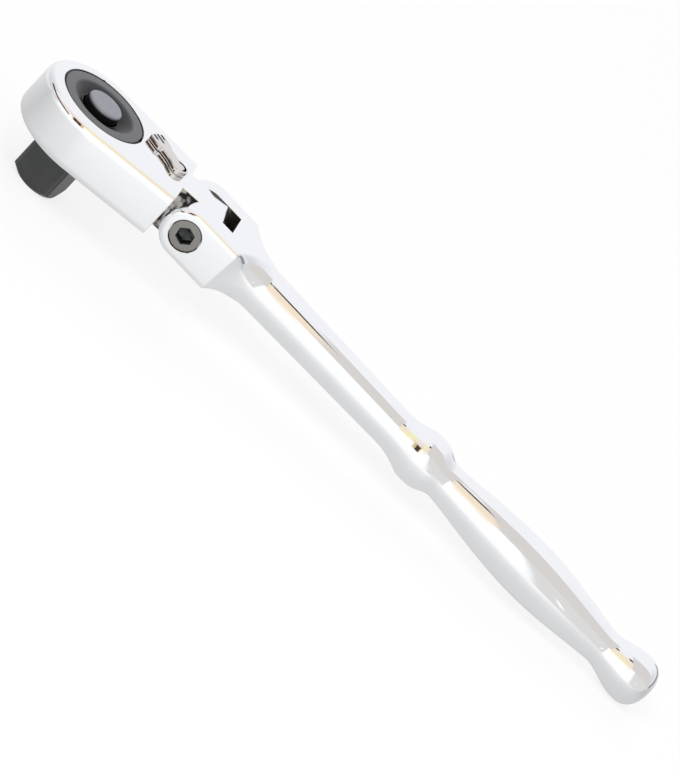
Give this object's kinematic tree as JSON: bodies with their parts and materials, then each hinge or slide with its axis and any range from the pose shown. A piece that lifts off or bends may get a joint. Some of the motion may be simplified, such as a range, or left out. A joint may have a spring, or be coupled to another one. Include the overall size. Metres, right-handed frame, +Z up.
{
  "type": "flex head ratchet",
  "caption": "Chrome flex head ratchet: round geared head with a square drive, push-button socket release and thumb reversing lever, hinged by a screw in the forked end of a swollen handle.",
  "frame": {"origin": "middle of the square drive's end face, on the ground that the tool stands on", "axes": "+Z up the drive's axis, away from the socket; +X from the drive toward the handle; the tool stands on the drive's end and on the ball end of the handle"},
  "size_m": [0.2235, 0.0344, 0.0298],
  "materials": {
    "chrome": "polished",
    "grey_steel": "satin",
    "dark_steel": "dark phosphate",
    "spring_steel": "bright"
  },
  "bodies": {
    "handle": {"handle": "chrome", "pivot_screw": "dark_steel", "tension_washer": "spring_steel"},
    "head": {"head_body": "chrome", "cover_plate": "grey_steel", "cover_snap_ring": "dark_steel", "thrust_washer": "spring_steel", "pawl_pin": "spring_steel"},
    "drive": {"drive_gear": "dark_steel", "button_spring": "spring_steel"},
    "button": {"release_pin": "spring_steel", "button_cap": "grey_steel"},
    "ball": {"detent_ball": "spring_steel"},
    "lever": {"reversing_lever": "chrome", "lever_ring": "spring_steel", "plunger_spring": "spring_steel"},
    "plunger": {"lever_plunger": "spring_steel"},
    "pawl": {"pawl": "dark_steel"}
  },
  "joints": [
    {"name": "flex", "type": "hinge", "parent": "handle", "child": "head", "pos_m": [0.0368, 0, 0.02135], "axis": [0, 1, 0], "range_deg": [-85.08, 94.92]},
    {"name": "drive_spin", "type": "hinge", "parent": "head", "child": "drive", "pos_m": [0, 0, 0.02135], "axis": [0, 0, 1], "continuous": true},
    {"name": "button_press", "type": "slide", "parent": "drive", "child": "button", "axis": [0, 0, -1], "range_m": [0, 0.0025], "stiffness_N_per_m": 800, "springref_m": -0.002, "deforming": ["button_spring"]},
    {"name": "ball_retract", "type": "slide", "parent": "drive", "child": "ball", "axis": [-0.2419, -0.9703, 0], "range_m": [0, 0.0009]},
    {"name": "lever_throw", "type": "hinge", "parent": "head", "child": "lever", "pos_m": [0.0245, 0, 0.02835], "axis": [0, 0, 1], "range_deg": [0, 60]},
    {"name": "plunger_press", "type": "slide", "parent": "lever", "child": "plunger", "axis": [0.866, -0.5, 0], "range_m": [0, 0.0005], "stiffness_N_per_m": 400, "springref_m": -0.001, "deforming": ["plunger_spring"]},
    {"name": "pawl_rock", "type": "hinge", "parent": "head", "child": "pawl", "pos_m": [0.0169, 0, 0.0206], "axis": [0, 0, 1], "range_deg": [-9, 0]}
  ],
  "couplings": [
    {"joint": "ball_retract", "follows": "button_press", "ratio": 0.36},
    {"joint": "pawl_rock", "follows": "lever_throw", "ratio": -0.15}
  ]
}
